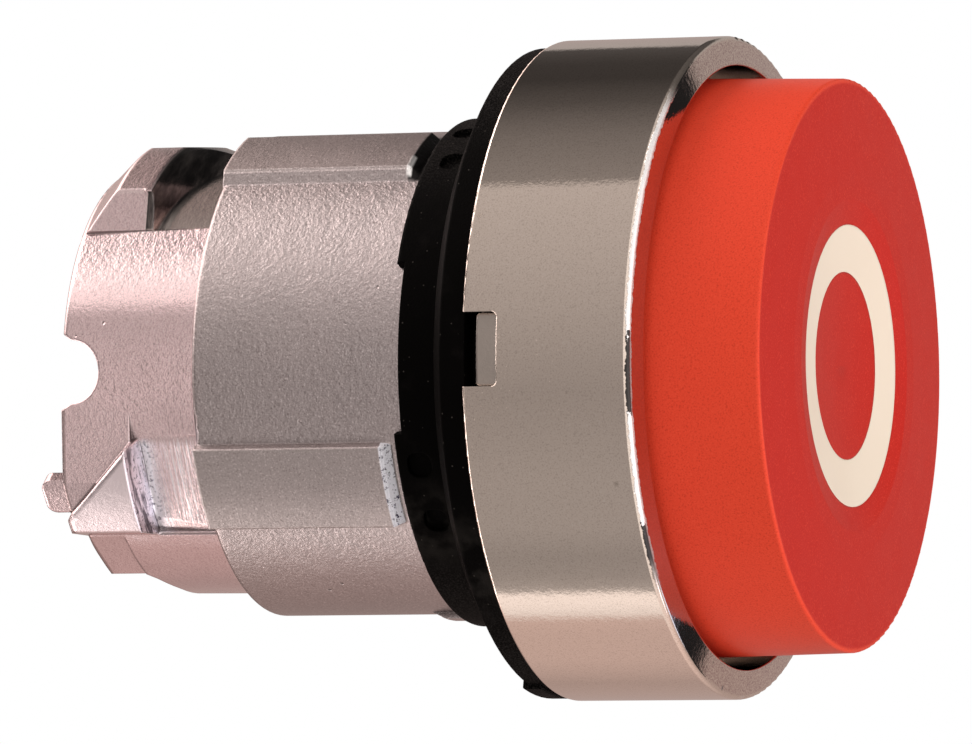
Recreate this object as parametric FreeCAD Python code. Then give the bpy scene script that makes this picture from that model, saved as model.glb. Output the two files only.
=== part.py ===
import FreeCAD, Part
import math
import os

from FreeCAD import Vector

os.makedirs("parts", exist_ok=True)

# Projecting stop push-button head for a round 22 mm panel hole. Lengths are in millimetres.
# Every piece is first drawn as radii and stations along the button axis: station 0 is the rear
# edge of the bezel and stations grow towards the operator. Angles are clock angles from the top,
# growing towards the left-hand side of the head (-X). At the end each piece is turned into the
# row frame: +Z up, the button faces -Y, and the origin is on the axis at the panel sealing face.

# ---- driving dimensions -------------------------------------------------------------------
BEZEL_R = 14.5
BEZEL_LEN = 7.53
BEZEL_BORE_R = 13.2
BEZEL_LIP_STATION = 7.85
BEZEL_EDGE = 0.25
BEZEL_NOTCH_WIDTH = 3.2
BEZEL_NOTCH_DEPTH = 1.58
BEZEL_NOTCH_ANGLE = 86.0

FLANGE_R = 13.6
FLANGE_BACK = 0.55
FLANGE_FRONT = 1.75
NECK_R = 10.8
NECK_FRONT = 6.0
BORE_R = 9.3

BARREL_R = 10.65
SHOULDER = -14.0
REAR_R = 9.25
REAR_SHOULDER_R = 9.5
REAR_BORE_R = 8.1
REAR_END = -20.7
LEDGE = -13.6
BUSH_BACK = -17.4

PAD_R = 11.1
PAD_FRONT = -5.3
PAD_FRONT_BEVEL = 0.45
PAD_ANGLE = 26.7
PAD_COUNT = 4
# Crest from and to, about the middle of the pad, then the flanks before and after it.
SIDE_PAD_SPAN = (-10.0, 10.0, 0.9, 0.9)
TOP_PAD_SPAN = (-8.5, 8.5, 3.2, 3.2)
QUARTER_TURN = 90.0

LUG_R = 10.5
LUG_FRONT_TOP = -17.45
LUG_FRONT_FOOT = -17.17
LUG_TOP_Z = 10.22
LUG_ANGLE = 26.2
LUG_FROM = -41.0
LUG_TO = 20.0
STOP_END_R = 9.75
RAMP_LUG_ANGLE = 118.2
GROOVE_R = 9.18
RAMP_LUG_R = 10.68
RAMP_LUG_END = -20.85
RUN_OUT_R = 60.0
RUN_OUT_DEPTH_R = 9.22
RUN_OUT_ANGLE = 118.5
BOTTOM_R = 9.6
BOTTOM_FLAT_Z = -8.62
BOTTOM_STEP = -17.9
BOTTOM_FROM = 134.9
BOTTOM_TO = 225.0

GASKET_FACE = -1.86
GASKET_SLEEVE_R = 11.2
GASKET_SLEEVE_END = -4.55
GASKET_RIM_R = 14.2
GASKET_SEAT_R = 12.9

TRAVEL = 4.3
END_GAP = 0.2

CAP_R = 12.5
CAP_SKIRT_R = 12.66
CAP_FRONT = 12.7
CAP_SKIRT_END = FLANGE_FRONT + END_GAP + TRAVEL
CAP_INNER_R = 11.6
CAP_CROWN_R = 7.6
CAP_CROWN_STATION = 12.86
DISH_SPHERE_R = 42.0
DISH_DEEPEST = 12.23
CAP_UNDERSIDE = 11.05
RING_OUTER_R = 6.15
RING_INNER_R = 4.09
RING_FLOOR = 11.7

PLUNGER_R = 7.6
PLUNGER_REAR_R = 7.0
PLUNGER_BORE_R = 5.8
PLUNGER_FRONT = 10.35
PLUNGER_REAR = -18.9
PLUNGER_STEP = -7.5
COLLAR_R = 8.95
COLLAR_BACK = -2.6
COLLAR_FRONT = -1.7
KEY_FLAT = 6.4
CLIP_BACK = -18.36
CLIP_T = 0.45
CLIP_GROOVE_R = 6.5

SPRING_MEAN_R = 8.4
SPRING_WIRE_R = 0.4
SPRING_TURNS = 4.5
WASHER_T = 0.4
FIXED_WASHER_BACK = -12.9

RUNNING = 0.05
GAP = 0.02


# ---- drawing helpers ----------------------------------------------------------------------
def corner_points(before, corner, after, radius):
    # Tangent points and mid point of a fillet arc at one corner of a profile.
    c = Vector(corner[0], 0, corner[1])
    u = (Vector(before[0], 0, before[1]) - c).normalize()
    v = (Vector(after[0], 0, after[1]) - c).normalize()
    half = u.getAngle(v) / 2.0
    reach = radius / math.tan(half)
    centre = c + (u + v).normalize() * (radius / math.sin(half))
    mid = centre + (c - centre).normalize() * radius
    return c + u * reach, mid, c + v * reach


def profile_face(points):
    # Closed (radius, station) outline in the XZ plane; a third value rounds that corner.
    count = len(points)
    pieces = []
    for i in range(count):
        p = points[i]
        if len(p) > 2:
            pieces.append(corner_points(points[i - 1], p, points[(i + 1) % count], p[2]))
        else:
            here = Vector(p[0], 0, p[1])
            pieces.append((here, None, here))
    edges = []
    for i in range(count):
        start, mid, end = pieces[i]
        if mid is not None:
            edges.append(Part.Arc(start, mid, end).toShape())
        following = pieces[(i + 1) % count][0]
        if end.distanceToPoint(following) > 1e-6:
            edges.append(Part.makeLine(end, following))
    return Part.Face(Part.Wire(edges))


def ring(points):
    return profile_face(points).revolve(Vector(0, 0, 0), Vector(0, 0, 1), 360)


def sector(points, angle_from, angle_to):
    # Part of a turned shape between two clock angles.
    body = profile_face(points).revolve(Vector(0, 0, 0), Vector(0, 0, 1), angle_to - angle_from)
    body.rotate(Vector(0, 0, 0), Vector(0, 0, 1), angle_from + QUARTER_TURN)
    return body


def tube(r_in, r_out, back, front, edge=0.0):
    if edge > 0:
        return ring([(r_in, back), (r_out, back, edge), (r_out, front, edge), (r_in, front)])
    return ring([(r_in, back), (r_out, back), (r_out, front), (r_in, front)])


def radial(angle):
    # Unit vector that points outwards at a clock angle.
    a = math.radians(angle)
    return Vector(-math.sin(a), math.cos(a), 0)


def turned(shape, angle):
    copy = shape.copy()
    copy.rotate(Vector(0, 0, 0), Vector(0, 0, 1), angle)
    return copy


def radial_prism(outline, angle, r_from, r_to):
    # Outline in (tangent, station) at radius r_from, pushed straight out to r_to.
    out = radial(angle)
    along = radial(angle + QUARTER_TURN)
    corners = [out * r_from + along * t + Vector(0, 0, s) for t, s in outline]
    face = Part.Face(Part.makePolygon(corners + [corners[0]]))
    return face.extrude(out * (r_to - r_from))


def rounded_block(width, back, front, angle, r_from, r_to, corner):
    # Block with rounded corners when looked at along its radius.
    half = width / 2.0
    block = radial_prism([(-half, back), (half, back), (half, front), (-half, front)],
                         angle, r_from, r_to)
    out = radial(angle)
    upright = []
    for edge in block.Edges:
        direction = edge.tangentAt(edge.FirstParameter)
        if abs(abs(direction.dot(out)) - 1.0) < 1e-6:
            upright.append(edge)
    return block.makeFillet(corner, upright)


def notch_zone(half_angle):
    # Block over the key notch of the bezel, where the O-ring and its groove are left out.
    return sector([(12.0, 0.0), (15.0, 0.0), (15.0, 2.0), (12.0, 2.0)],
                  BEZEL_NOTCH_ANGLE - half_angle, BEZEL_NOTCH_ANGLE + half_angle)


# ---- zinc barrel --------------------------------------------------------------------------
def barrel_pad(angle, span):
    # Raised land on the barrel with sloped long sides and a bevelled front end.
    crest_from = angle + span[0]
    crest_to = angle + span[1]
    foot_r = BARREL_R - 0.05
    inner_r = BARREL_R - 0.85
    bevel_drop = PAD_FRONT_BEVEL - 0.001
    wires = []
    for station, drop in ((SHOULDER + GAP, 0.0), (PAD_FRONT, 0.0),
                          (PAD_FRONT + PAD_FRONT_BEVEL, bevel_drop)):
        crest = PAD_R - drop
        corners = [radial(crest_from - span[2]) * foot_r, radial(crest_from) * crest,
                   radial(angle) * crest, radial(crest_to) * crest,
                   radial(crest_to + span[3]) * foot_r, radial(angle) * inner_r]
        corners = [c + Vector(0, 0, station) for c in corners]
        edges = [Part.makeLine(corners[0], corners[1]),
                 Part.Arc(corners[1], corners[2], corners[3]).toShape(),
                 Part.makeLine(corners[3], corners[4]),
                 Part.makeLine(corners[4], corners[5]),
                 Part.makeLine(corners[5], corners[0])]
        wires.append(Part.Wire(edges))
    return Part.makeLoft(wires, True, True)


def side_trim(turn, wall_top, wall_foot):
    # Everything beyond the side wall of a lug; the wall may lean out towards its foot.
    z_top = 9.2
    z_foot = 5.9
    outline = [Vector(-wall_top, z_top, 0), Vector(-wall_foot, z_foot, 0), Vector(-wall_foot, -9, 0),
               Vector(-20, -9, 0), Vector(-20, 14, 0), Vector(-wall_top, 14, 0)]
    face = Part.Face(Part.makePolygon(outline + [outline[0]]))
    block = face.extrude(Vector(0, 0, 12))
    block.translate(Vector(0, 0, REAR_END - 2))
    return turned(block, turn)


def above_lug():
    # Everything above the level top of the square lug.
    width = 12.0
    return Part.makeBox(width, 3.0, SHOULDER - REAR_END + 1.0,
                        Vector(-width / 2.0, LUG_TOP_Z, REAR_END - 0.5))


def square_lug(angle):
    # Bayonet lug with a level crest and a bevelled back.
    lug = sector([(REAR_R - 0.4, -20.6), (REAR_R - 0.1, -20.6), (LUG_R, -19.05, 0.3),
                  (LUG_R, LUG_FRONT_TOP), (REAR_R - 0.4, LUG_FRONT_TOP + 0.9)],
                 angle + LUG_FROM, angle + LUG_TO)
    return lug.cut([side_trim(0.0, 6.15, 6.95), above_lug()])


def stop_ramp(angle):
    # Falls from the lug crest to the shoulder and stops the turn of the collar's claw.
    ramp_end = -15.4
    ramp = sector([(REAR_R - 0.4, LUG_FRONT_TOP - 0.3), (LUG_R, LUG_FRONT_TOP - 0.3),
                   (LUG_R, LUG_FRONT_TOP), (STOP_END_R, ramp_end), (STOP_END_R, SHOULDER + 0.1),
                   (REAR_R - 0.4, SHOULDER + 0.1)], angle + LUG_FROM, angle + 12.0)
    return ramp.cut(above_lug())


def cam_groove(angle):
    # Turned groove in front of the square lug; its back wall leans further forward as the
    # groove runs from its open end to the stop.
    steps = [(20.0, LUG_FRONT_FOOT, GROOVE_R), (12.0, LUG_FRONT_FOOT + 0.2, GROOVE_R),
             (-4.0, -16.35, GROOVE_R), (-16.0, -15.6, GROOVE_R + 0.1), (-24.0, -14.9, 9.6)]
    wires = []
    for offset, foot, floor_r in steps:
        out = radial(angle + offset)
        corners = [out * floor_r + Vector(0, 0, SHOULDER), out * floor_r + Vector(0, 0, foot),
                   out * (LUG_R + 0.3) + Vector(0, 0, LUG_FRONT_TOP - 0.05),
                   out * (LUG_R + 0.3) + Vector(0, 0, SHOULDER)]
        wires.append(Part.makePolygon(corners + [corners[0]]))
    return Part.makeLoft(wires, True, False)


def ramp_lug(turn):
    # Triangular bayonet lug: its long edge slopes back from a rounded tip to the rear rim.
    tip = -1.95
    low = 3.6
    front = LUG_FRONT_TOP + 0.5
    inner_r = REAR_R - 0.4
    outline = [(tip, front), (tip, LUG_FRONT_TOP - 0.05), (1.0, RAMP_LUG_END + 0.33),
               (1.45, RAMP_LUG_END), (low, RAMP_LUG_END), (low, front)]
    wedge = radial_prism(outline, RAMP_LUG_ANGLE, REAR_R - 1.0, LUG_R + 2.0)
    crest = sector([(inner_r, RAMP_LUG_END), (RAMP_LUG_R - 0.15, RAMP_LUG_END),
                    (RAMP_LUG_R, RAMP_LUG_END + 0.3), (RAMP_LUG_R, LUG_FRONT_TOP),
                    (inner_r, LUG_FRONT_FOOT + 0.1)],
                   RAMP_LUG_ANGLE - 16.0, RAMP_LUG_ANGLE + 24.0)
    lug = crest.common(wedge).cut(side_trim(QUARTER_TURN, 6.66, 6.9))
    outer = []
    for edge in lug.Edges:
        middle = edge.valueAt((edge.FirstParameter + edge.LastParameter) / 2.0)
        reach = math.hypot(middle.x, middle.y)
        if reach > RAMP_LUG_R - 0.25 and middle.z < LUG_FRONT_TOP - 0.05:
            outer.append(edge)
    return turned(lug.makeFillet(0.3, outer), turn)


def run_out_groove(turn):
    # Milled groove between the ramp lug and the shoulder: its floor is almost flat, so that it
    # runs out at both ends.
    outer_r = RUN_OUT_R + 1.5
    profile = [(RUN_OUT_R, SHOULDER), (RUN_OUT_R, LUG_FRONT_FOOT, 0.12),
               (outer_r, LUG_FRONT_TOP - 0.05), (outer_r, SHOULDER)]
    cutter = ring(profile)
    cutter.translate(radial(RUN_OUT_ANGLE) * (RUN_OUT_DEPTH_R - RUN_OUT_R))
    slice_of_barrel = sector([(6.0, REAR_END), (13.0, REAR_END), (13.0, SHOULDER), (6.0, SHOULDER)],
                             RUN_OUT_ANGLE - 13.0, RUN_OUT_ANGLE + 17.0)
    return turned(cutter.common(slice_of_barrel), turn)


def make_barrel():
    outer = [(REAR_BORE_R, REAR_END, 0.2), (REAR_R, REAR_END, 0.25), (REAR_SHOULDER_R, SHOULDER),
             (BARREL_R, SHOULDER, 0.22), (BARREL_R, FLANGE_BACK), (FLANGE_R, FLANGE_BACK),
             (FLANGE_R, FLANGE_FRONT, 0.1), (NECK_R, FLANGE_FRONT), (NECK_R, NECK_FRONT, 0.2),
             (BORE_R, NECK_FRONT, 0.2), (BORE_R, LEDGE), (REAR_BORE_R, LEDGE)]
    body = ring(outer)

    # Lower part of the rear end: larger radius.
    lower = sector([(REAR_R - 0.5, REAR_END), (BOTTOM_R, REAR_END, 0.25),
                    (BOTTOM_R + 0.05, SHOULDER + 0.1), (REAR_R - 0.5, SHOULDER + 0.1)],
                   BOTTOM_FROM, BOTTOM_TO)
    body = body.fuse(lower)

    # Flat cheek of the casting below the half-round notch.
    cheek_low = 6.0
    cheek_length = 3.2
    cheek_outer_r = 10.3
    cheek = Part.makeBox(3.0, cheek_low, cheek_length, Vector(-REAR_R, -cheek_low, REAR_END))
    cheek = cheek.common(tube(REAR_R - 0.4, cheek_outer_r, REAR_END, SHOULDER))
    body = body.fuse(cheek)

    # Flat under the rear end, with a sloped run-up to the full radius and eased corners.
    slope = [(BOTTOM_FLAT_Z, REAR_END - 1.0), (BOTTOM_FLAT_Z, BOTTOM_STEP - 1.05),
             (BOTTOM_FLAT_Z - 0.25, BOTTOM_STEP - 0.65), (BOTTOM_FLAT_Z - 0.75, BOTTOM_STEP - 0.15),
             (BOTTOM_FLAT_Z - 1.1, BOTTOM_STEP), (BOTTOM_FLAT_Z - 3.0, BOTTOM_STEP),
             (BOTTOM_FLAT_Z - 3.0, REAR_END - 1.0)]
    corners = [Vector(-8.0, z, station) for z, station in slope]
    under = Part.Face(Part.makePolygon(corners + [corners[0]])).extrude(Vector(16.0, 0, 0))
    body = body.cut(under)
    ease_angle = 148.0
    ease_reach = 9.4
    for side in (1, -1):
        ease = Part.makeBox(12, 3, BOTTOM_STEP - REAR_END, Vector(-6, ease_reach, REAR_END - 1.0))
        body = body.cut(turned(ease, side * ease_angle))

    body = body.fuse([square_lug(LUG_ANGLE), stop_ramp(LUG_ANGLE)])
    body = body.cut(cam_groove(LUG_ANGLE))
    for turn in (0.0, 2 * QUARTER_TURN):
        body = body.cut(run_out_groove(turn))
        body = body.fuse(ramp_lug(turn))

    for i in range(PAD_COUNT):
        span = SIDE_PAD_SPAN if i % 2 else TOP_PAD_SPAN
        body = body.fuse(barrel_pad(PAD_ANGLE + QUARTER_TURN * i, span))

    # Small locating nib under the front of the barrel.
    nib = sector([(BARREL_R - 0.3, -6.3), (BARREL_R, -6.3), (BARREL_R + 0.3, -5.7, 0.2),
                  (BARREL_R + 0.3, -4.9), (BARREL_R - 0.3, -4.9)], 170.0, 190.0)
    body = body.fuse(nib)

    # Half-round notch in the rear rim, with flared mouth.
    notch_z = 0.35
    notch_station = -20.3
    notch_r = 1.4
    mouth = 0.35
    depth = 4.0
    start = Vector(-REAR_R - 1.0, notch_z, notch_station)
    notch = Part.makeCylinder(notch_r, depth, start, Vector(1, 0, 0))
    lower_left = start + Vector(0, -notch_r - mouth, REAR_END - notch_station - 0.1)
    flare = [lower_left, lower_left + Vector(0, 2 * (notch_r + mouth), 0),
             start + Vector(0, notch_r - 0.05, 0.12), start + Vector(0, -notch_r + 0.05, 0.12)]
    flare_face = Part.Face(Part.makePolygon(flare + [flare[0]]))
    body = body.cut([notch, flare_face.extrude(Vector(depth, 0, 0))])

    # Rounded tab that stands out behind the rear rim.
    tab_angle = 126.3
    tab = rounded_block(1.75, -22.52, REAR_END + 0.6, tab_angle, REAR_BORE_R - 1.0, REAR_R, 0.45)
    tab = tab.common(tube(REAR_BORE_R + 0.02, REAR_BORE_R + 0.62, -23.5, REAR_END + 1.0))
    body = body.fuse(tab)

    # Tongue that keys the bezel.
    tongue = rounded_block(BEZEL_NOTCH_WIDTH - 0.1, FLANGE_BACK, BEZEL_NOTCH_DEPTH - 0.05,
                           BEZEL_NOTCH_ANGLE, FLANGE_R - 1.0, BEZEL_R, 0.15)
    tongue = tongue.common(tube(FLANGE_R - 0.6, BEZEL_R - 0.35, FLANGE_BACK, FLANGE_FRONT))
    body = body.fuse(tongue)

    # Groove for the bezel O-ring.
    groove_floor_r = 13.06
    groove_back = 0.9
    groove_front = 1.42
    groove = tube(groove_floor_r, FLANGE_R + GAP, groove_back, groove_front)
    body = body.cut(groove.cut(notch_zone(8.0)))
    return body.removeSplitter()


# ---- bezel and its fixings ----------------------------------------------------------------
def make_bezel():
    bezel = ring([(FLANGE_R, 0.0), (BEZEL_R, 0.0, 0.1), (BEZEL_R, BEZEL_LEN, BEZEL_EDGE),
                  (BEZEL_BORE_R, BEZEL_LIP_STATION, 0.1), (BEZEL_BORE_R, FLANGE_FRONT),
                  (FLANGE_R, FLANGE_FRONT)])
    notch = rounded_block(BEZEL_NOTCH_WIDTH, -1.5, BEZEL_NOTCH_DEPTH, BEZEL_NOTCH_ANGLE,
                          BEZEL_BORE_R - 1.0, BEZEL_R + 1.0, 0.25)
    snap_groove = tube(FLANGE_R - 0.1, 13.97, 0.1, 0.52)
    return bezel.cut([notch, snap_groove])


def make_bezel_ring():
    # Split snap ring behind the barrel flange; the split faces the bezel notch.
    wire = tube(13.05, 13.95, 0.12, 0.5, 0.1)
    split = radial_prism([(-2.0, -1.0), (2.0, -1.0), (2.0, 2.0), (-2.0, 2.0)],
                         BEZEL_NOTCH_ANGLE, 11.0, 16.0)
    return wire.cut(split)


def make_bezel_oring():
    section_r = 0.25
    middle = 1.16
    whole = Part.makeTorus(FLANGE_R - section_r, section_r, Vector(0, 0, middle),
                           Vector(0, 0, 1))
    return whole.cut(notch_zone(8.05))


def make_gasket():
    body = ring([(BARREL_R, GASKET_SLEEVE_END), (GASKET_SLEEVE_R, GASKET_SLEEVE_END, 0.15),
                 (GASKET_SLEEVE_R, GASKET_FACE), (GASKET_SEAT_R, GASKET_FACE, 0.1),
                 (GASKET_RIM_R, -1.12, 0.12), (GASKET_RIM_R, 0.0), (13.0, 0.0),
                 (13.0, FLANGE_BACK), (BARREL_R, FLANGE_BACK)])
    cuts = []
    # Shallow windows in the rear edge of the sleeve, on the two sides.
    for middle in (84.0, 264.0):
        cuts.append(sector([(10.0, -5.0), (12.0, -5.0), (12.0, -4.15), (10.0, -4.15)],
                           middle - 19.5, middle + 19.5))
    # Pairs of pockets over each land of the barrel.
    pocket_depth = 0.32
    for i in range(PAD_COUNT):
        base = PAD_ANGLE + QUARTER_TURN * i
        for offset, station in ((-6.0, -3.5), (8.0, -3.25)):
            cuts.append(rounded_block(1.15, station - 0.55, station + 0.55, base + offset,
                                      GASKET_SLEEVE_R - pocket_depth, 12.4, 0.45))
    body = body.cut(cuts)
    # Pull tab on the rim.
    tab = sector([(13.5, -1.35), (GASKET_RIM_R + 0.2, -1.35, 0.1), (GASKET_RIM_R + 0.2, -0.45, 0.1),
                  (13.5, -0.45)], 164.0, 181.0)
    tab = tab.cut(sector([(12.0, -3.0), (13.7, -1.4), (13.7, 0.2), (12.0, 0.2)], 160.0, 185.0))
    return body.fuse(tab).removeSplitter()


# ---- fixed inner pieces -------------------------------------------------------------------
def make_front_bush():
    return ring([(PLUNGER_R + RUNNING, -1.2), (BORE_R, -1.2, 0.2), (BORE_R, 3.9),
                 (PLUNGER_R + RUNNING, 3.9)])


def make_wiper_seal():
    lip = PLUNGER_R + GAP
    return ring([(8.5, 3.9), (BORE_R, 3.9), (BORE_R, 5.1), (8.6, 5.1), (8.3, 4.6), (lip, 5.05),
                 (lip, 4.7), (8.0, 4.35), (lip, 4.2), (lip, 3.92)])


def make_seal_retainer():
    return ring([(8.2, 5.1), (BORE_R, 5.1), (BORE_R, 5.75), (8.0, 5.75)])


def flatted(shape, half_width, back, front):
    # Keeps only the part between two parallel flats, over a length of the piece.
    keep = Part.makeBox(2 * half_width, 40, front - back, Vector(-half_width, -20, back))
    band = Part.makeBox(40, 40, front - back, Vector(-20, -20, back))
    return shape.cut(band.cut(keep))


def make_rear_bush():
    body = ring([(4.0, BUSH_BACK), (REAR_BORE_R, BUSH_BACK, 0.15), (REAR_BORE_R, LEDGE),
                 (BORE_R, LEDGE), (BORE_R, FIXED_WASHER_BACK), (4.0, FIXED_WASHER_BACK)])
    hole = tube(0.0, PLUNGER_REAR_R + RUNNING, -18.0, FIXED_WASHER_BACK + 1.0)
    hole = flatted(hole, KEY_FLAT + RUNNING, -18.1, FIXED_WASHER_BACK + 1.1)
    return body.cut(hole)


def make_fixed_washer():
    return tube(7.35, 9.25, FIXED_WASHER_BACK, FIXED_WASHER_BACK + WASHER_T, 0.05)


# ---- moving pieces ------------------------------------------------------------------------
def make_plunger():
    body = ring([(PLUNGER_BORE_R, PLUNGER_REAR), (PLUNGER_REAR_R, PLUNGER_REAR, 0.15),
                 (PLUNGER_REAR_R, PLUNGER_STEP), (PLUNGER_R, PLUNGER_STEP, 0.15),
                 (PLUNGER_R, COLLAR_BACK), (COLLAR_R, COLLAR_BACK), (COLLAR_R, COLLAR_FRONT, 0.15),
                 (PLUNGER_R, COLLAR_FRONT), (PLUNGER_R, PLUNGER_FRONT, 0.15),
                 (PLUNGER_BORE_R, PLUNGER_FRONT)])
    body = flatted(body, KEY_FLAT, PLUNGER_REAR - 0.1, PLUNGER_STEP - 0.4)
    return body.cut(tube(CLIP_GROOVE_R, 8.0, CLIP_BACK, CLIP_BACK + CLIP_T))


def make_stop_buffer():
    body = tube(4.0, 7.78, CLIP_BACK + CLIP_T, BUSH_BACK - GAP, 0.1)
    hole = tube(0.0, PLUNGER_REAR_R, -19.0, -17.0)
    return body.cut(flatted(hole, KEY_FLAT, -19.1, -16.9))


def make_plunger_clip():
    # Open clip that snaps into the groove of the plunger.
    mouth_half_angle = 14.0
    return sector([(CLIP_GROOVE_R, CLIP_BACK), (7.7, CLIP_BACK), (7.7, CLIP_BACK + CLIP_T),
                   (CLIP_GROOVE_R, CLIP_BACK + CLIP_T)],
                  mouth_half_angle, 360.0 - mouth_half_angle)


def make_pusher_foot():
    spigot = tube(4.9, PLUNGER_BORE_R, PLUNGER_REAR, -16.6, 0.1)
    disc = tube(3.2, 6.35, PLUNGER_REAR - 0.8, PLUNGER_REAR, 0.15)
    body = disc.fuse(spigot)
    fingers = []
    for angle in (0.0, 2 * QUARTER_TURN):
        fingers.append(rounded_block(5.0, -20.6, PLUNGER_REAR - 0.3, angle, 3.4, 6.2, 0.4))
    return body.fuse(fingers).removeSplitter()


def make_moving_washer():
    return tube(PLUNGER_R + GAP, 9.0, COLLAR_BACK - WASHER_T, COLLAR_BACK, 0.05)


def make_carrier():
    disc = tube(2.2, CAP_INNER_R, PLUNGER_FRONT, CAP_UNDERSIDE)
    rim = tube(11.15, CAP_INNER_R, 8.6, CAP_UNDERSIDE, 0.1)
    spigot = tube(4.8, PLUNGER_BORE_R, 8.2, PLUNGER_FRONT, 0.1)
    return disc.fuse([rim, spigot]).removeSplitter()


def dish_ball():
    # Ball that leaves the concave dish in the face of the cap.
    return Part.makeSphere(DISH_SPHERE_R, Vector(0, 0, DISH_DEEPEST + DISH_SPHERE_R))


def make_cap():
    crown = CAP_CROWN_STATION
    outline = [(0.0, CAP_UNDERSIDE), (CAP_INNER_R, CAP_UNDERSIDE), (CAP_INNER_R, CAP_SKIRT_END),
               (CAP_SKIRT_R, CAP_SKIRT_END, 0.15), (CAP_R, CAP_FRONT, 0.14),
               (CAP_CROWN_R + 0.6, crown), (0.0, crown)]
    cap = ring(outline).cut(dish_ball())
    return cap.cut(tube(RING_INNER_R, RING_OUTER_R, RING_FLOOR, 14.0))


def make_marking_ring():
    return tube(RING_INNER_R, RING_OUTER_R, RING_FLOOR, 14.0).cut(dish_ball())


def make_spring():
    # Open coil between the two washers, wound at an even pitch.
    low = FIXED_WASHER_BACK + WASHER_T + SPRING_WIRE_R
    height = COLLAR_BACK - WASHER_T - SPRING_WIRE_R - low
    helix = Part.makeHelix(height / SPRING_TURNS, height, SPRING_MEAN_R)
    section = Part.makeCircle(SPRING_WIRE_R, Vector(SPRING_MEAN_R, 0, 0), Vector(0, 1, 0))
    wire = Part.Wire(helix.Edges).makePipeShell([Part.Wire([section])], True, True)
    wire.translate(Vector(0, 0, low))
    return wire


# ---- placing and writing ------------------------------------------------------------------
def placed(shape):
    # Turns stations into -Y and puts the panel sealing face on the origin.
    shape = shape.copy()
    shape.rotate(Vector(0, 0, 0), Vector(1, 0, 0), QUARTER_TURN)
    shape.translate(Vector(0, GASKET_FACE, 0))
    return shape


nodes = {
    "barrel": make_barrel(),
    "bezel": make_bezel(),
    "bezel_ring": make_bezel_ring(),
    "bezel_oring": make_bezel_oring(),
    "panel_gasket": make_gasket(),
    "front_bush": make_front_bush(),
    "wiper_seal": make_wiper_seal(),
    "seal_retainer": make_seal_retainer(),
    "rear_bush": make_rear_bush(),
    "fixed_washer": make_fixed_washer(),
    "return_spring": make_spring(),
    "moving_washer": make_moving_washer(),
    "plunger": make_plunger(),
    "stop_buffer": make_stop_buffer(),
    "plunger_clip": make_plunger_clip(),
    "pusher_foot": make_pusher_foot(),
    "cap_carrier": make_carrier(),
    "cap": make_cap(),
    "marking_ring": make_marking_ring(),
}

for name, shape in nodes.items():
    final = placed(shape)
    final.exportStep("parts/" + name + ".step")
    box = final.BoundBox
    print(name, final.ShapeType, "solids", len(final.Solids), "valid", final.isValid(),
          "vol %.1f" % final.Volume,
          "x %.2f..%.2f y %.2f..%.2f z %.2f..%.2f" % (box.XMin, box.XMax, box.YMin, box.YMax,
                                                      box.ZMin, box.ZMax))
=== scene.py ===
import math

import bpy
from mathutils import Matrix, Vector


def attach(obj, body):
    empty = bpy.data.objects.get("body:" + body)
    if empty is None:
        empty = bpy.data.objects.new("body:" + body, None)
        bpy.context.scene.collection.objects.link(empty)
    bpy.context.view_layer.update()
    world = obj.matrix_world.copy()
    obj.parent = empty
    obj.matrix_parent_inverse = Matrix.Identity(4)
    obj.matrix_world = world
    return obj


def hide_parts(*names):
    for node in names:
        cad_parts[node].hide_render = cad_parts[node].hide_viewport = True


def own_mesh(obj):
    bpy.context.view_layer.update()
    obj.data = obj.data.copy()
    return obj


# Looks for the projecting stop push-button head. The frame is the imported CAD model, in metres:
# +Z up, the button faces -Y, and the origin is on the axis at the panel sealing face.

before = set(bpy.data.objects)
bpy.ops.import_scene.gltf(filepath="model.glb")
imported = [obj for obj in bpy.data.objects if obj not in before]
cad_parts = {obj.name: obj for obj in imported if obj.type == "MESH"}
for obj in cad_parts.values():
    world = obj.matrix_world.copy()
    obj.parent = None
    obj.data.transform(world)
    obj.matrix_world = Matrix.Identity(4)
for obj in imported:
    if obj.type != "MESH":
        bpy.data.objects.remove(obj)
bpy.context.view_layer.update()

MM = 0.001

# Places on the part. Radii and stations are in mm: a station is counted forward (-Y) from the
# rear edge of the bezel. Clock angles are in degrees from the top, growing towards -X.
SEALING_FACE_TO_BEZEL = 1.86    # from the origin to station 0
SHOULDER = -14.04               # the long barrel steps down to the rear section here
GROOVE_REAR = -17.56            # rear wall of the grooves between the shoulder and the lugs
REAR_EDGE = -20.6
LAND_TOP_RADIUS = 11.02         # further out than this is the top of a land
LAND_BEVEL = (-5.36, -4.86)     # stations of the bevel that ends each land in front
SIDE_LAND = (104.0, 130.0)      # clock angles, and again half a turn round
TOP_LAND = (14.0, 38.0)
RAMP_GROOVE = (107.0, 135.0)    # clock angles, and again half a turn round
RAMP_GROOVE_RADIUS = 10.62      # the groove's floor lies within this radius
CAM_GROOVE = (-14.0, 46.2)
CAM_GROOVE_RADIUS = 10.47
BEZEL_GIRTH = 91.0              # once round the bezel
BEZEL_EDGE_RADIUS = 14.20       # the bezel's front edge rounds over from here
BEZEL_EDGE_STATION = 7.42
CAP_FACE_RADIUS = 12.32


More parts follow.
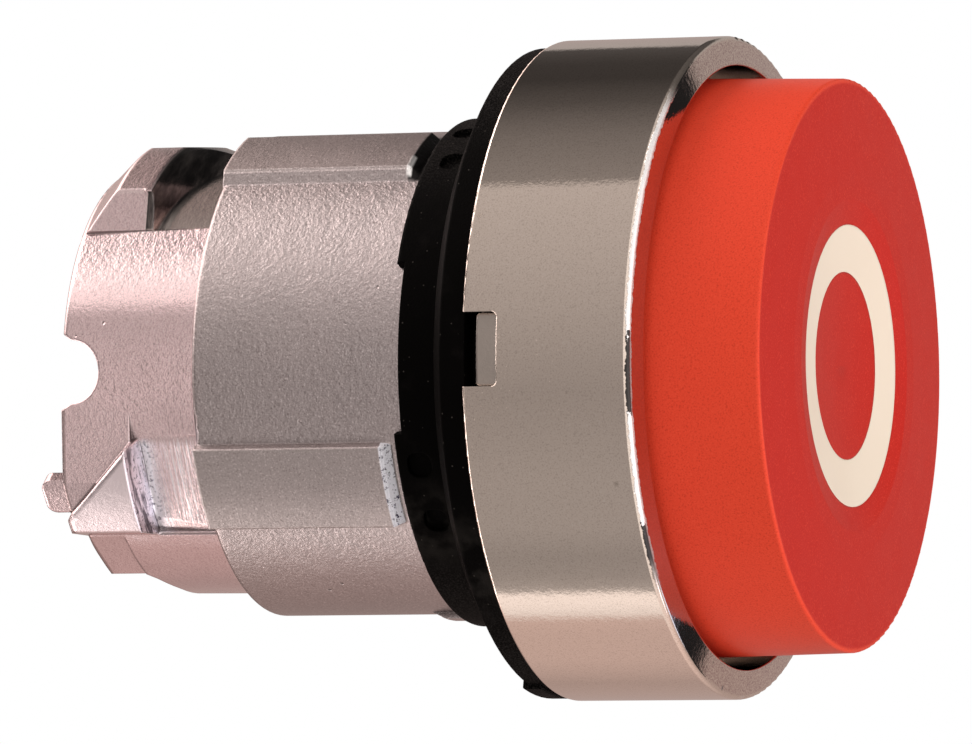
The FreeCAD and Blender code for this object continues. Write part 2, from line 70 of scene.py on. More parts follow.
# ---- node helpers -------------------------------------------------------------------------
class Shader:
    """Adds nodes to one node tree and links them. Coordinates are the part's own, in mm."""

    def __init__(self, tree):
        self.tree = tree
        tree.nodes.clear()

    def node(self, kind, **settings):
        made = self.tree.nodes.new(kind)
        for key, value in settings.items():
            setattr(made, key, value)
        return made

    def feed(self, socket, value):
        if isinstance(value, bpy.types.NodeSocket):
            self.tree.links.new(value, socket)
        else:
            socket.default_value = value

    def math(self, operation, a, b=0.0):
        made = self.node("ShaderNodeMath", operation=operation)
        self.feed(made.inputs[0], a)
        self.feed(made.inputs[1], b)
        return made.outputs[0]

    def times(self, first, *others):
        for other in others:
            first = self.math("MULTIPLY", first, other)
        return first

    def plus(self, first, *others):
        for other in others:
            first = self.math("ADD", first, other)
        return first

    def vector(self, operation, a, b):
        made = self.node("ShaderNodeVectorMath", operation=operation)
        self.feed(made.inputs[0], a)
        self.feed(made.inputs[1], b)
        return made.outputs[0]

    def position(self):
        coordinates = self.node("ShaderNodeTexCoord").outputs["Object"]
        return self.vector("MULTIPLY", coordinates, (1 / MM, 1 / MM, 1 / MM))

    def polar(self, place):
        """Radius about the button axis, clock angle in degrees and station of a place."""
        x, y, z = self.split(place)
        radius = self.math("SQRT", self.plus(self.times(x, x), self.times(z, z)))
        turns = self.math("DIVIDE", self.math("ARCTAN2", self.times(x, -1.0), z), math.tau)
        station = self.math("SUBTRACT", self.times(y, -1.0), SEALING_FACE_TO_BEZEL)
        return radius, self.times(turns, 360.0), station

    def split(self, vector):
        made = self.node("ShaderNodeSeparateXYZ")
        self.feed(made.inputs[0], vector)
        return made.outputs[0], made.outputs[1], made.outputs[2]

    def join(self, x, y, z):
        made = self.node("ShaderNodeCombineXYZ")
        for socket, value in zip(made.inputs, (x, y, z)):
            self.feed(socket, value)
        return made.outputs[0]

    def noise(self, vector, size, detail=2.0, roughness=0.5):
        """Noise whose features are about size mm across."""
        made = self.node("ShaderNodeTexNoise", noise_dimensions="3D")
        self.feed(made.inputs["Vector"], vector)
        made.inputs["Scale"].default_value = 1.0 / size
        made.inputs["Detail"].default_value = detail
        made.inputs["Roughness"].default_value = roughness
        return made.outputs["Fac"]

    def specks(self, place, size, share):
        """Scattered dots of about a third of size mm, on the given share of cells."""
        made = self.node("ShaderNodeTexVoronoi", feature="F1")
        self.feed(made.inputs["Vector"], place)
        made.inputs["Scale"].default_value = 1.0 / size
        chosen = self.step(self.split(made.outputs["Color"])[0], share + 0.01, share)
        return self.times(self.step(made.outputs["Distance"], 0.22, 0.08), chosen)

    def step(self, value, low, high):
        """0 at low, 1 at high, smooth between; low may be the larger of the two."""
        made = self.node("ShaderNodeMapRange", interpolation_type="SMOOTHSTEP", clamp=True)
        self.feed(made.inputs["Value"], value)
        if low <= high:
            ends = (low, high, 0.0, 1.0)
        else:
            ends = (high, low, 1.0, 0.0)
        for name, end in zip(("From Min", "From Max", "To Min", "To Max"), ends):
            made.inputs[name].default_value = end
        return made.outputs["Result"]

    def between(self, value, low, high, soft):
        """1 between low and high, fading to 0 over soft on either side."""
        return self.times(self.step(value, low - soft, low + soft),
                          self.step(value, high + soft, high - soft))

    def paired(self, degrees, low, high, soft):
        """1 between two clock angles on the -X side, and half a turn round from there."""
        size = self.math("ABSOLUTE", degrees)
        opposite = self.between(size, 180.0 - high, 180.0 - low, soft)
        return self.blend(self.step(degrees, -1.0, 1.0), opposite,
                          self.between(size, low, high, soft))

    def scale(self, value, low, high):
        """Maps 0..1 to low..high."""
        made = self.node("ShaderNodeMapRange", clamp=True)
        self.feed(made.inputs["Value"], value)
        made.inputs["To Min"].default_value = low
        made.inputs["To Max"].default_value = high
        return made.outputs["Result"]

    def mix(self, factor, a, b):
        made = self.node("ShaderNodeMix", data_type="RGBA")
        self.feed(made.inputs[0], factor)
        self.feed(made.inputs[6], colour(a))
        self.feed(made.inputs[7], colour(b))
        return made.outputs[2]

    def blend(self, factor, a, b):
        made = self.node("ShaderNodeMix", data_type="FLOAT")
        self.feed(made.inputs[0], factor)
        self.feed(made.inputs[2], a)
        self.feed(made.inputs[3], b)
        return made.outputs[0]

    def ramp(self, value, stops):
        """Colour ramp through (place, colour) stops."""
        made = self.node("ShaderNodeValToRGB")
        self.feed(made.inputs[0], value)
        elements = made.color_ramp.elements
        while len(elements) > 1:
            elements.remove(elements[-1])
        for i, (place, shade) in enumerate(stops):
            spot = elements[0] if i == 0 else elements.new(place)
            spot.position = place
            spot.color = colour(shade)
        return made.outputs[0]

    def bump(self, height, distance, edge_radius):
        """Bump whose full height is distance mm, on edges softened to edge_radius mm."""
        softened = self.node("ShaderNodeBevel", samples=6)
        softened.inputs["Radius"].default_value = edge_radius * MM
        made = self.node("ShaderNodeBump")
        made.inputs["Distance"].default_value = distance * MM
        self.feed(made.inputs["Height"], height)
        self.feed(made.inputs["Normal"], softened.outputs[0])
        return made.outputs[0]

    def cavity(self, reach):
        """1 in the open, 0 deep in a recess narrower than about reach mm."""
        made = self.node("ShaderNodeAmbientOcclusion", samples=8, only_local=True)
        made.inputs["Distance"].default_value = reach * MM
        return made.outputs["AO"]

    def surface(self, **inputs):
        shader = self.node("ShaderNodeBsdfPrincipled")
        for name, value in inputs.items():
            self.feed(shader.inputs[name.replace("_", " ")], value)
        output = self.node("ShaderNodeOutputMaterial")
        self.tree.links.new(shader.outputs[0], output.inputs["Surface"])


def colour(value):
    if isinstance(value, bpy.types.NodeSocket):
        return value
    return (*value[:3], 1.0)


def material(name):
    made = bpy.data.materials.new(name)
    made.use_nodes = True
    return made, Shader(made.node_tree)


# ---- zinc barrel --------------------------------------------------------------------------
def cast_skin(s, place, station, radius, clouds, grain):
    """Base tone of the casting, its grain and the shares that are rear section and land."""
    rear = s.step(station, SHOULDER + 0.06, SHOULDER - 0.02)
    land = s.step(radius, LAND_TOP_RADIUS - 0.04, LAND_TOP_RADIUS + 0.04)
    # The rear end is brighter metal; the long barrel is a duller, browner grey.
    tone = s.mix(rear, (0.468, 0.418, 0.415), (0.86, 0.68, 0.69))
    tone = s.mix(s.scale(clouds, 0.0, 0.30), tone, (0.62, 0.51, 0.50))
    tone = s.mix(s.times(land, 0.6), tone, (0.53, 0.47, 0.455))
    dark_grain = s.times(s.step(grain, 0.47, 0.28), s.blend(rear, 0.50, 0.32))
    pale_grain = s.times(s.step(grain, 0.55, 0.72), s.blend(rear, 0.45, 0.30))
    tone = s.mix(dark_grain, tone, (0.20, 0.15, 0.14))
    tone = s.mix(pale_grain, tone, (1.0, 0.92, 0.91))
    pits = s.specks(place, 0.5, 0.008)
    tone = s.mix(s.times(pits, 0.6), tone, (0.12, 0.10, 0.095))
    return tone, rear, land, pits


def paint_highlit_faces(s, tone, radius, degrees, station):
    """Pale painted highlights on the crests of the lugs and the square lug's cheek, and a tone of
    its own for the key tongue.
    """
    # Painted highlight: the lug crests are painted pale pink.
    crest = s.times(s.step(radius, 10.50, 10.60), s.step(station, -17.3, -17.45))
    tone = s.mix(s.times(crest, 0.8), tone, (1.0, 0.90, 0.93))
    # Painted highlight: the square lug's cheek is painted pale pink, fully past 43 degrees and at
    # 0.3 before that.
    cheek = s.times(s.between(station, -21.2, -17.6, 0.05),
                    s.between(degrees, -20.0, 72.0, 1.0),
                    s.step(radius, 10.32, 10.40),
                    s.blend(s.step(degrees, 40.5, 43.0), 0.30, 1.0))
    tone = s.mix(cheek, tone, (1.0, 0.86, 0.84))
    tongue = s.times(s.step(radius, 13.5, 13.8), s.step(station, 0.4, 0.6))
    tone = s.mix(tongue, tone, (0.45, 0.40, 0.36))
    return tone, s.math("MAXIMUM", crest, cheek)


def milled_grooves(s, tone, place, radius, degrees, station):
    """Run-out grooves in front of the ramp lugs, with turning lines and fresh cut faces."""
    milled = s.times(s.paired(degrees, *RAMP_GROOVE, 1.5),
                     s.between(station, GROOVE_REAR + 0.01, SHOULDER + 0.01, 0.03),
                     s.step(radius, RAMP_GROOVE_RADIUS + 0.02, RAMP_GROOVE_RADIUS - 0.02))
    lines = s.noise(s.join(s.times(station, 7.0), s.times(degrees, 0.03), 0.0), 1.0, 4.0, 0.75)
    tone = s.mix(s.times(milled, s.step(lines, 0.50, 0.66)), tone, (0.95, 0.90, 0.93))

    # Fresh cut faces: the step behind the groove and the front ends of the side lands.
    wall = s.times(milled, s.step(station, -16.2, -17.1))
    bevelled = s.times(s.paired(degrees, *SIDE_LAND, 1.0),
                       s.between(station, *LAND_BEVEL, 0.03),
                       s.step(radius, 10.68, 10.72))
    fresh = s.math("MAXIMUM", s.times(wall, 0.75), bevelled)
    nicks = s.noise(place, 0.16, 3.0, 0.7)
    tone = s.mix(fresh, tone, (0.94, 0.94, 1.0))
    tone = s.mix(s.times(fresh, s.step(nicks, 0.46, 0.36)), tone, (0.05, 0.04, 0.08))
    cut_marks = s.times(s.step(lines, 0.50, 0.42), s.step(station, -16.95, -17.1), milled)
    tone = s.mix(s.times(cut_marks, 0.85), tone, (0.10, 0.09, 0.11))
    return tone, s.times(lines, milled), fresh, bevelled


def paint_dark_places(s, tone, radius, degrees, station):
    """Painted shade and dark reflection in the square lug's cam groove, and painted black with a
    painted glint at the ends of the top lands.
    """
    cam = s.times(s.between(station, GROOVE_REAR - 0.02, SHOULDER - 0.01, 0.03),
                  s.between(degrees, *CAM_GROOVE, 0.6),
                  s.step(radius, CAM_GROOVE_RADIUS + 0.02, CAM_GROOVE_RADIUS - 0.02))
    streaks = s.noise(s.join(s.times(station, 2.2), s.times(degrees, 0.05),
                             s.times(radius, 0.8)), 1.0, 4.0, 0.7)
    # The painted shade's edge runs slantwise: this much further round for each mm of station.
    slant = s.times(s.plus(station, 16.8), 23.75)
    sweep = s.plus(degrees, slant, s.scale(streaks, -9.0, 9.0))
    tone = s.mix(s.times(cam, 0.7), tone, (1.0, 0.90, 0.82))
    # Painted shade and dark reflection: most of the cam groove is painted near black.
    painted_groove_shade = s.times(cam, s.step(sweep, 48.0, 33.0),
                  s.scale(s.step(streaks, 0.35, 0.75), 0.99, 0.80))
    tone = s.mix(painted_groove_shade, tone, (0.030, 0.027, 0.028))

    # The front ends of the top lands are painted black as shade and dark reflection, with a
    # painted glint on one corner.
    start = LAND_BEVEL[0]
    land_end = s.times(s.step(station, start, start + 0.10), s.between(degrees, *TOP_LAND, 0.8))
    painted_glint = s.times(s.between(station, start - 0.04, start + 0.19, 0.04),
                     s.between(degrees, 31.0, 37.0, 0.5))
    tone = s.mix(land_end, tone, (0.020, 0.018, 0.018))
    tone = s.mix(painted_glint, tone, (1.0, 0.98, 0.97))
    return tone, cam


def zinc_casting():
    """Die-cast zinc: pinkish grey, orange-peel cast skin, smoother rear end, milled grooves."""
    made, s = material("zinc_casting")
    place = s.position()
    radius, degrees, station = s.polar(place)
    grain = s.noise(place, 0.085, 2.0, 0.65)
    skin = s.noise(place, 0.21, 3.0, 0.65)
    lumps = s.noise(place, 1.1, 3.0, 0.5)
    clouds = s.noise(place, 4.0, 3.0, 0.55)
    tone, rear, land, pits = cast_skin(s, place, station, radius, clouds, grain)
    tone, highlit = paint_highlit_faces(s, tone, radius, degrees, station)
    tone, furrows, fresh, bevelled = milled_grooves(s, tone, place, radius, degrees, station)
    tone, cam = paint_dark_places(s, tone, radius, degrees, station)

    # Painted shade: a darker band along the rear edge, and darkening in the corners.
    rear_edge = s.between(station, REAR_EDGE - 0.07, REAR_EDGE + 0.06, 0.02)
    tone = s.mix(s.times(rear_edge, 0.6), tone, (0.32, 0.24, 0.23))
    # Painted shade: corners and recesses narrower than the reach are darkened by occlusion.
    painted_crevice_shade = s.times(s.step(s.cavity(0.7), 0.84, 0.50), 0.8, s.scale(fresh, 1.0, 0.25))
    tone = s.mix(painted_crevice_shade, tone, (0.055, 0.043, 0.040))

    gloss = s.plus(s.blend(rear, 0.33, 0.145), s.times(highlit, 0.16),
                   s.scale(clouds, -0.04, 0.05), s.scale(grain, -0.06, 0.08),
                   s.times(fresh, 0.25))
    height = s.plus(s.times(grain, 0.35), skin, s.times(lumps, 0.9))
    height = s.times(height, s.blend(s.math("MAXIMUM", rear, land), 1.10, 0.34),
                     s.blend(cam, 1.0, 0.4))
    height = s.plus(height, s.times(furrows, 1.6))
    height = s.math("SUBTRACT", height, s.times(pits, 1.5))
    s.surface(Base_Color=tone, Metallic=s.blend(bevelled, 1.0, 0.35), Roughness=gloss,
              Normal=s.bump(height, 0.024, 0.14))
    return made


# ---- chromed bezel ------------------------------------------------------------------------
def glinting_rim(s, tone, around, radius, clock, station):
    """The front edge of both sides gets a painted highlight and a painted dark reflection by
    turns.
    """
    rim_jitter = s.noise(around, 0.45, 3.0, 0.7)
    spread = s.scale(rim_jitter, -0.16, 0.16)
    out_far = s.step(s.plus(radius, spread), BEZEL_EDGE_RADIUS, BEZEL_EDGE_RADIUS + 0.03)
    in_front = s.step(s.plus(station, spread), BEZEL_EDGE_STATION, BEZEL_EDGE_STATION + 0.03)
    rim = s.times(out_far, in_front, s.between(clock, 36.0, 128.0, 5.0))
    along = s.plus(clock, s.scale(rim_jitter, -7.0, 7.0))
    # Painted dark reflection on these stretches of the rim; the rest of the rim is a painted
    # near-white highlight.
    dark_reflection = s.math("MAXIMUM", s.between(along, 84.0, 98.0, 0.4), s.step(along, 117.0, 118.0))
    dark_reflection = s.times(rim, dark_reflection)
    tone = s.mix(s.math("SUBTRACT", rim, dark_reflection), tone, (1.0, 0.98, 0.97))
    tone = s.mix(dark_reflection, tone, (0.030, 0.024, 0.022))
    return tone, rim, s.times(rim, rim_jitter)


def chrome_plate():
    """Bright plate with faint orange peel, a few handling marks and a warm tint."""
    made, s = material("chrome_plate")
    place = s.position()
    radius, degrees, station = s.polar(place)
    clock = s.math("ABSOLUTE", degrees)
    around = s.join(station, s.times(degrees, BEZEL_GIRTH / 360.0), radius)
    peel = s.noise(around, 1.6, 2.0, 0.5)
    ripple = s.noise(around, 0.24, 3.0, 0.65)
    frost = s.noise(place, 0.07, 2.0, 0.6)
    haze = s.noise(place, 5.0, 3.0, 0.6)
    marks = s.specks(place, 0.8, 0.012)
    tone = s.mix(s.scale(haze, 0.0, 0.6), (0.86, 0.735, 0.645), (0.80, 0.695, 0.615))
    tone = s.mix(s.times(s.step(frost, 0.50, 0.30), 0.35), tone, (0.36, 0.30, 0.26))
    tone = s.mix(s.times(s.step(frost, 0.54, 0.74), 0.35), tone, (0.98, 0.90, 0.84))
    tone = s.mix(s.times(marks, 0.8), tone, (0.30, 0.26, 0.22))
    tone, rim, ragged = glinting_rim(s, tone, around, radius, clock, station)

    # The flat front lip is duller than the side, most of all at the flanks: a painted reflection
    # of the red cap, redder in grainy spots and greyer at the flanks.
    lip = s.times(s.step(station, 7.50, 7.56), s.step(radius, 14.35, 14.25))
    tone = s.mix(s.times(lip, s.step(frost, 0.60, 0.35)), tone, (0.50, 0.36, 0.34))
    flank = s.between(clock, 27.0, 153.0, 1.5)
    tone = s.mix(s.times(lip, flank, 0.75), tone, (0.60, 0.50, 0.48))

    metal = s.math("SUBTRACT", 1.0, s.times(rim, 0.6))
    gloss = s.plus(s.scale(haze, 0.015, 0.045), s.times(marks, 0.3), s.times(rim, 0.40),
                   s.times(lip, 0.03))
    height = s.plus(peel, s.times(ripple, 0.62), s.times(frost, 0.04), s.times(ragged, 3.0))
    s.surface(Base_Color=tone, Metallic=metal, Roughness=gloss,
              Normal=s.bump(height, 0.0062, 0.06))
    return made


# ---- rubber, plastics and steel -----------------------------------------------------------
def rubber():
    """Matt black moulded rubber with dust specks, paler blotches low down and greyer top and
    bottom.
    """
    made, s = material("black_rubber")
    place = s.position()
    degrees = s.polar(place)[1]
    fine = s.noise(place, 0.08, 3.0, 0.6)
    bloom = s.noise(place, 2.2, 4.0, 0.6)
    tone = s.mix(s.step(bloom, 0.55, 0.80), (0.0016, 0.0013, 0.0012), (0.006, 0.005, 0.0048))
    pale_blotches = s.times(s.between(degrees, 118.0, 136.0, 7.0), s.step(bloom, 0.42, 0.62))
    tone = s.mix(s.times(pale_blotches, 0.5), tone, (0.030, 0.027, 0.024))
    ends = s.step(s.math("ABSOLUTE", s.plus(degrees, -90.0)), 38.0, 60.0)
    tone = s.mix(s.times(ends, s.step(fine, 0.40, 0.70)), tone, (0.022, 0.020, 0.019))
    dust = s.specks(place, 0.22, 0.10)
    tone = s.mix(s.times(dust, 0.45), tone, (0.10, 0.09, 0.08))
    rough = s.plus(s.scale(bloom, 0.50, 0.66), s.scale(fine, -0.06, 0.06))
    s.surface(Base_Color=tone, Roughness=rough, Specular_IOR_Level=0.02,
              Normal=s.bump(s.plus(fine, bloom), 0.015, 0.1))
    return made


def red_cap():
    """Orange-red signal plastic with fine grain; the face is painted a deeper red than the side
    as painted shade.
    """
    made, s = material("red_cap")
    place = s.position()
    radius = s.polar(place)[0]
    fine = s.noise(place, 0.075, 2.0, 0.6)
    drift = s.noise(place, 6.0, 3.0, 0.55)
    handling = s.noise(place, 1.2, 4.0, 0.65)
    face = s.step(radius, CAP_FACE_RADIUS + 0.1, CAP_FACE_RADIUS - 0.1)
    tone = s.mix(s.scale(drift, 0.2, 0.8), (0.87, 0.075, 0.035), (0.82, 0.066, 0.030))
    # Painted shade: the face is painted a deeper red than the side.
    tone = s.mix(face, tone, (0.57, 0.0195, 0.0115))
    tone = s.mix(s.times(s.step(fine, 0.52, 0.70), 0.40), tone, (0.50, 0.018, 0.009))
    tone = s.mix(s.times(s.step(fine, 0.47, 0.30), 0.35), tone, (0.90, 0.12, 0.060))
    rough = s.plus(s.scale(handling, 0.30, 0.42), s.scale(fine, -0.04, 0.04))
    s.surface(Base_Color=tone, Roughness=rough, Specular_IOR_Level=0.09,
              Normal=s.bump(s.plus(fine, s.times(handling, 0.35)), 0.006, 0.15))
    return made


def moulded(name, main, shade, gloss, grain_height=0.006, shine=0.4):
    """Moulded plastic or rubber: fine spark-eroded grain, slow tone drift, softened edges."""
    made, s = material(name)
    place = s.position()
    fine = s.noise(place, 0.08, 3.0, 0.6)
    drift = s.noise(place, 5.0, 3.0, 0.55)
    handling = s.noise(place, 1.4, 4.0, 0.65)
    tone = s.mix(s.scale(drift, 0.1, 0.9), main, shade)
    tone = s.mix(s.times(s.step(fine, 0.55, 0.75), 0.25), tone, shade)
    rough = s.plus(s.scale(handling, gloss - 0.06, gloss + 0.08), s.scale(fine, -0.04, 0.04))
    s.surface(Base_Color=tone, Roughness=rough, Specular_IOR_Level=shine,
              Normal=s.bump(s.plus(fine, s.times(handling, 0.4)), grain_height, 0.12))
    return made


def steel(name, main=(0.56, 0.55, 0.53), shade=(0.42, 0.41, 0.40), gloss=0.26):
    """Drawn or stamped steel with fine scratches."""
    made, s = material(name)
    place = s.position()
    x, y, z = s.split(place)
    stretched = s.join(s.times(x, 6.0), s.times(y, 0.6), s.times(z, 6.0))
    scratches = s.noise(stretched, 1.0, 3.0, 0.7)
    tone = s.mix(s.noise(place, 2.0, 3.0, 0.6), main, shade)
    s.surface(Base_Color=tone, Metallic=1.0,
              Roughness=s.scale(scratches, gloss - 0.06, gloss + 0.08),
              Normal=s.bump(scratches, 0.003, 0.05))
    return made


# Main tone and shade of each piece that has no look of its own above.
CREAM = ((0.93, 0.81, 0.66), (0.86, 0.73, 0.58))
SPRING_STEEL = ((0.60, 0.59, 0.57), (0.48, 0.47, 0.46))
DARK_STEEL = ((0.30, 0.29, 0.30), (0.22, 0.21, 0.22))
ORING_RUBBER = ((0.016, 0.015, 0.015), (0.028, 0.026, 0.025))
SEAL_RUBBER = ((0.016, 0.015, 0.015), (0.030, 0.028, 0.027))
BUFFER_RUBBER = ((0.018, 0.017, 0.017), (0.030, 0.028, 0.027))
NATURAL_ACETAL = ((0.75, 0.74, 0.70), (0.66, 0.65, 0.60))
PALE_PLASTIC = ((0.70, 0.68, 0.62), (0.62, 0.59, 0.53))
RETAINER_PLASTIC = ((0.040, 0.040, 0.043), (0.060, 0.06, 0.06))
PLUNGER_PLASTIC = ((0.040, 0.040, 0.045), (0.060, 0.060, 0.064))
CARRIER_PLASTIC = ((0.040, 0.040, 0.043), (0.060, 0.060, 0.062))

LOOKS = {
    "barrel": zinc_casting(),
    "bezel": chrome_plate(),
    "panel_gasket": rubber(),
    "cap": red_cap(),
    "marking_ring": moulded("cream_ring", *CREAM, gloss=0.45, grain_height=0.004, shine=0.2),
    "bezel_ring": steel("ring_steel"),
    "return_spring": steel("spring_steel", *SPRING_STEEL, gloss=0.2),
    "fixed_washer": steel("washer_steel", gloss=0.3),
    "moving_washer": steel("washer_steel_moving", gloss=0.3),
    "plunger_clip": steel("clip_steel", *DARK_STEEL, gloss=0.3),
    "bezel_oring": moulded("oring_rubber", *ORING_RUBBER, gloss=0.5),
    "wiper_seal": moulded("seal_rubber", *SEAL_RUBBER, gloss=0.55),
    "stop_buffer": moulded("buffer_rubber", *BUFFER_RUBBER, gloss=0.55),
    "front_bush": moulded("bush_plastic", *NATURAL_ACETAL, gloss=0.4),
    "rear_bush": moulded("rear_bush_plastic", *NATURAL_ACETAL, gloss=0.4),
    "seal_retainer": moulded("retainer_plastic", *RETAINER_PLASTIC, gloss=0.4),
    "plunger": moulded("plunger_plastic", *PLUNGER_PLASTIC, gloss=0.36),
    "pusher_foot": moulded("foot_plastic", *PALE_PLASTIC, gloss=0.36),
    "cap_carrier": moulded("carrier_plastic", *CARRIER_PLASTIC, gloss=0.42),
}

for name, look in LOOKS.items():
    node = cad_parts[name]
    node.data.materials.clear()
    node.data.materials.append(look)


# ---- spring -------------------------------------------------------------------------------
def shortening_spring():
    """The return spring again, as a piece of its own with its own mesh, fixed to the housing."""
    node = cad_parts["return_spring"]
    spring = bpy.data.objects.new("return_coil", node.data.copy())
    bpy.context.scene.collection.objects.link(spring)
    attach(spring, "housing")
    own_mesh(spring)
    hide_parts("return_spring")


# ---- studio -------------------------------------------------------------------------------
FLOOR_DROP = 0.05               # m from the button's axis down to the table top
FLOOR_REACH = 0.4
FLOOR_SEGMENTS = 96


def stage_floor():
    """Pale round table top, well below the part: a disc with a rolled edge."""
    profile = ((FLOOR_REACH - 0.01, 0.0), (FLOOR_REACH - 0.003, -0.001), (FLOOR_REACH, -0.006),
               (FLOOR_REACH, -0.02))
    points = []
    for r, z in profile:
        for i in range(FLOOR_SEGMENTS):
            a = math.tau * i / FLOOR_SEGMENTS
            points.append((r * math.cos(a), r * math.sin(a), z - FLOOR_DROP))
    faces = [list(range(FLOOR_SEGMENTS))]
    for k in range(len(profile) - 1):
        inner = k * FLOOR_SEGMENTS
        outer = inner + FLOOR_SEGMENTS
        for i in range(FLOOR_SEGMENTS):
            j = (i + 1) % FLOOR_SEGMENTS
            faces.append([inner + i, outer + i, outer + j, inner + j])
    mesh = bpy.data.meshes.new("studio_floor")
    mesh.from_pydata(points, [], faces)
    mesh.update()
    floor = bpy.data.objects.new("studio_floor", mesh)
    bpy.context.scene.collection.objects.link(floor)
    made, s = material("pale_floor")
    tone = s.mix(s.noise(s.position(), 60.0, 3.0), (0.90, 0.90, 0.89), (0.94, 0.94, 0.93))
    s.surface(Base_Color=tone, Roughness=0.8, Emission_Color=(0.9, 0.9, 0.9, 1.0),
              Emission_Strength=0.55)
    mesh.materials.append(made)
    floor.visible_glossy = False
    floor.visible_diffuse = False


def warmed(green, pairs, overhead=0.0):
    """Ramp stops from (elevation, brightness) pairs, 0 at the camera side and 90 overhead.

    Green is the green share of red on the walls. Light from below is pinker, and overhead
    is the share of that pink in the light from above the far wall.
    """
    stops = []
    for elevation, shade in pairs:
        if elevation < -94.0 or elevation > 170.0:
            pink = 1.0
        else:
            pink = overhead if elevation > 94.0 else 0.0
        tint = (1.02, green - 0.155 * pink, green - 0.035 - 0.185 * pink)
        stops.append(((elevation + 180.0) / 360.0, [part * shade for part in tint]))
    return stops


# Brightness of the room by elevation: square to the head, just behind that, further behind,
# and in front.
SQUARE = warmed(0.94, (
    (-180, 0.44), (-154, 0.46), (-140, 0.44), (-130, 0.53), (-120, 0.60), (-104, 0.61),
    (-97, 0.65), (-93.5, 0.90), (-89, 1.04), (-83.5, 1.09), (-82.7, 0.45), (-76, 0.35),
    (-68, 0.325), (-56, 0.38), (-38, 0.38), (-8, 0.33), (2, 0.355), (18, 0.41), (40, 0.48),
    (67.6, 0.54), (68.2, 0.27), (80, 0.222), (90, 0.185), (100, 0.13), (107, 0.090),
    (122, 0.047), (134, 0.050), (144, 0.068), (151, 0.085), (152.2, 0.42), (180, 0.42)))
BAND = warmed(0.90, (
    (-180, 0.45), (-128, 0.40), (-98, 0.55), (-75, 0.70), (-30, 0.82), (-8, 1.10), (16, 0.96),
    (28, 0.78), (40.2, 0.62), (41, 1.8), (52, 1.25), (64, 0.75), (72, 0.38), (80, 0.20),
    (100, 0.4), (140, 0.8), (180, 0.5)), overhead=0.5)
BEHIND = warmed(0.92, (
    (-180, 0.40), (-150, 0.26), (-128, 0.26), (-108, 0.55), (-98, 1.5), (-90, 3.2), (-82, 5.6),
    (-76, 5.6), (-70, 1.3), (-62, 0.55), (-48, 0.5), (-20, 0.14), (0, 0.14), (22, 0.24),
    (40, 0.45), (47, 0.80), (58, 2.3), (68, 3.3), (78, 4.2), (94, 5.0), (103, 3.2), (114, 2.3),
    (124, 2.7), (138, 2.0), (158, 0.6), (180, 0.45)), overhead=0.5)
FORWARD = warmed(0.96, (
    (-180, 0.42), (-150, 0.45), (-110, 0.85), (-60, 1.0), (0, 1.0), (60, 1.0), (95, 0.6),
    (110, 0.12), (150, 0.08), (156, 0.42), (180, 0.42)))

# Light panels: elevation from and to, place along +Y from and to, colour.
PANELS = (
    (-112.0, -48.0, -0.92, -0.62, (1.5, 1.6, 1.9)),
    (-179.0, -150.0, -0.90, -0.60, (1.0, 1.1, 1.4)),
)


def room_light(s):
    """Colour of the light from each direction."""
    x, y, z = s.split(s.node("ShaderNodeTexCoord").outputs["Generated"])
    angle = s.math("ARCTAN2", z, s.times(x, -1.0))
    elevation = s.times(angle, 180.0 / math.pi)
    turn = s.plus(s.math("DIVIDE", angle, math.tau), 0.5)
    room = s.mix(s.step(y, 0.12, 0.18), s.ramp(turn, FORWARD), s.ramp(turn, SQUARE))
    room = s.mix(s.step(y, 0.382, 0.398), room, s.ramp(turn, BAND))
    room = s.mix(s.step(y, 0.45, 0.49), room, s.ramp(turn, BEHIND))

    # The far wall is dark towards the front, and a broad lamp stands in front of the button.
    far = s.times(s.step(s.math("ABSOLUTE", elevation), 148.0, 156.0),
                  s.step(y, -0.455, -0.475))
    room = s.mix(far, room, (0.02, 0.02, 0.02))
    lamp = s.times(s.step(y, -0.80, -0.90), 1.6)
    total = s.vector("ADD", room, s.join(lamp, lamp, lamp))
    for low, high, along_low, along_high, tint in PANELS:
        inside = s.times(s.between(elevation, low, high, 1.5),
                         s.step(y, along_low - 0.012, along_low + 0.012),
                         s.step(y, along_high + 0.03, along_high - 0.03))
        total = s.vector("ADD", total, s.vector("MULTIPLY", s.join(inside, inside, inside), tint))
    return total


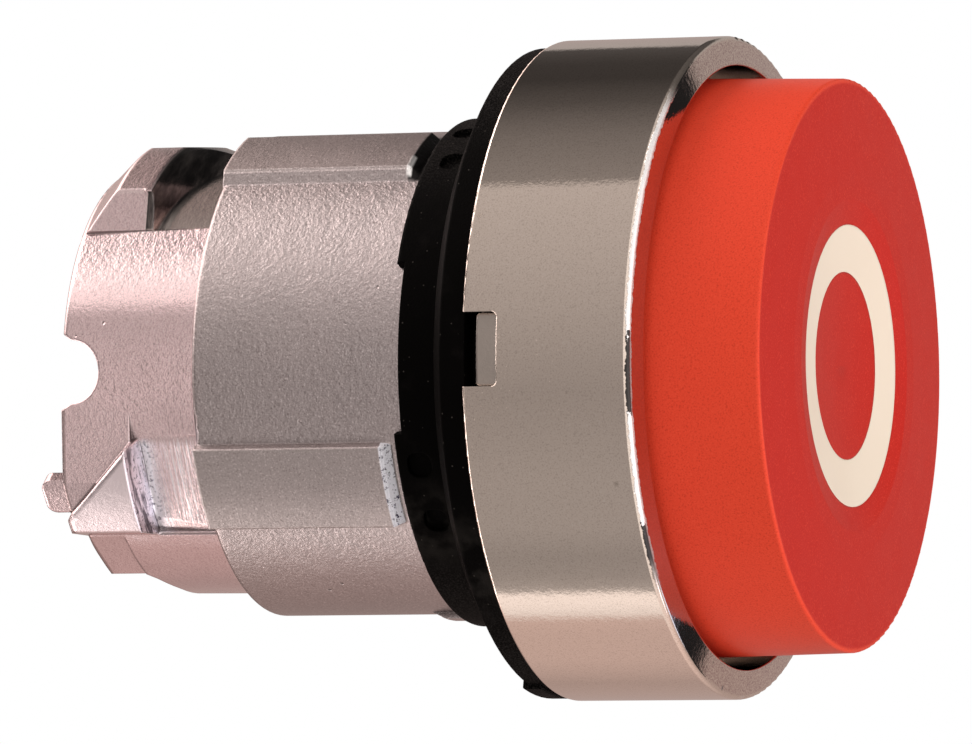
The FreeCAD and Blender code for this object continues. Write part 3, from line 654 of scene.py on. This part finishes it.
def studio_world():
    """Soft room that lights and reflects; the camera itself sees plain white behind the part."""
    world = bpy.data.worlds.new("studio")
    bpy.context.scene.world = world
    world.use_nodes = True
    s = Shader(world.node_tree)
    light = s.node("ShaderNodeBackground")
    s.feed(light.inputs["Color"], room_light(s))
    backdrop = s.node("ShaderNodeBackground")
    backdrop.inputs["Color"].default_value = (1.0, 1.0, 1.0, 1.0)
    chosen = s.node("ShaderNodeMixShader")
    s.feed(chosen.inputs[0], s.node("ShaderNodeLightPath").outputs["Is Camera Ray"])
    s.feed(chosen.inputs[1], light.outputs[0])
    s.feed(chosen.inputs[2], backdrop.outputs[0])
    output = s.node("ShaderNodeOutputWorld")
    s.feed(output.inputs["Surface"], chosen.outputs[0])
    world.cycles.sampling_method = "MANUAL"
    world.cycles.sample_map_resolution = 1024


# The camera as fitted to the photo: the directions of its picture, how far it stands off, and
# where the middle of the picture lies, to the right of and above the middle of station 0.
CAMERA_RIGHT = Vector((0.34947, -0.93677, -0.01808))
CAMERA_UP = Vector((0.00632, -0.01694, 0.99984))
CAMERA_BACK = Vector((-0.93693, -0.34952, 0.0))
CAMERA_DISTANCE = 450.0         # mm
CAMERA_SHIFT = (-4.0003, -0.0527)
CAMERA_LENS = 379.3             # mm, on a 36 mm sensor
CAMERA_SENSOR = 36.0


def studio_camera():
    """Long lens, level with the axis, on the left of the head and a little to the front."""
    data = bpy.data.cameras.new("camera")
    data.sensor_width = CAMERA_SENSOR
    data.lens = CAMERA_LENS
    data.clip_start = 0.01
    data.clip_end = 10.0
    camera = bpy.data.objects.new("camera", data)
    bpy.context.scene.collection.objects.link(camera)
    target = Vector((0.0, -SEALING_FACE_TO_BEZEL, 0.0))
    target += CAMERA_SHIFT[0] * CAMERA_RIGHT + CAMERA_SHIFT[1] * CAMERA_UP
    turn = Matrix((CAMERA_RIGHT, CAMERA_UP, CAMERA_BACK)).transposed().to_4x4()
    place = (target + CAMERA_DISTANCE * CAMERA_BACK) * MM
    camera.matrix_world = Matrix.Translation(place) @ turn
    bpy.context.scene.camera = camera


shortening_spring()
stage_floor()
studio_world()
studio_camera()
bpy.context.scene.view_settings.view_transform = "Standard"
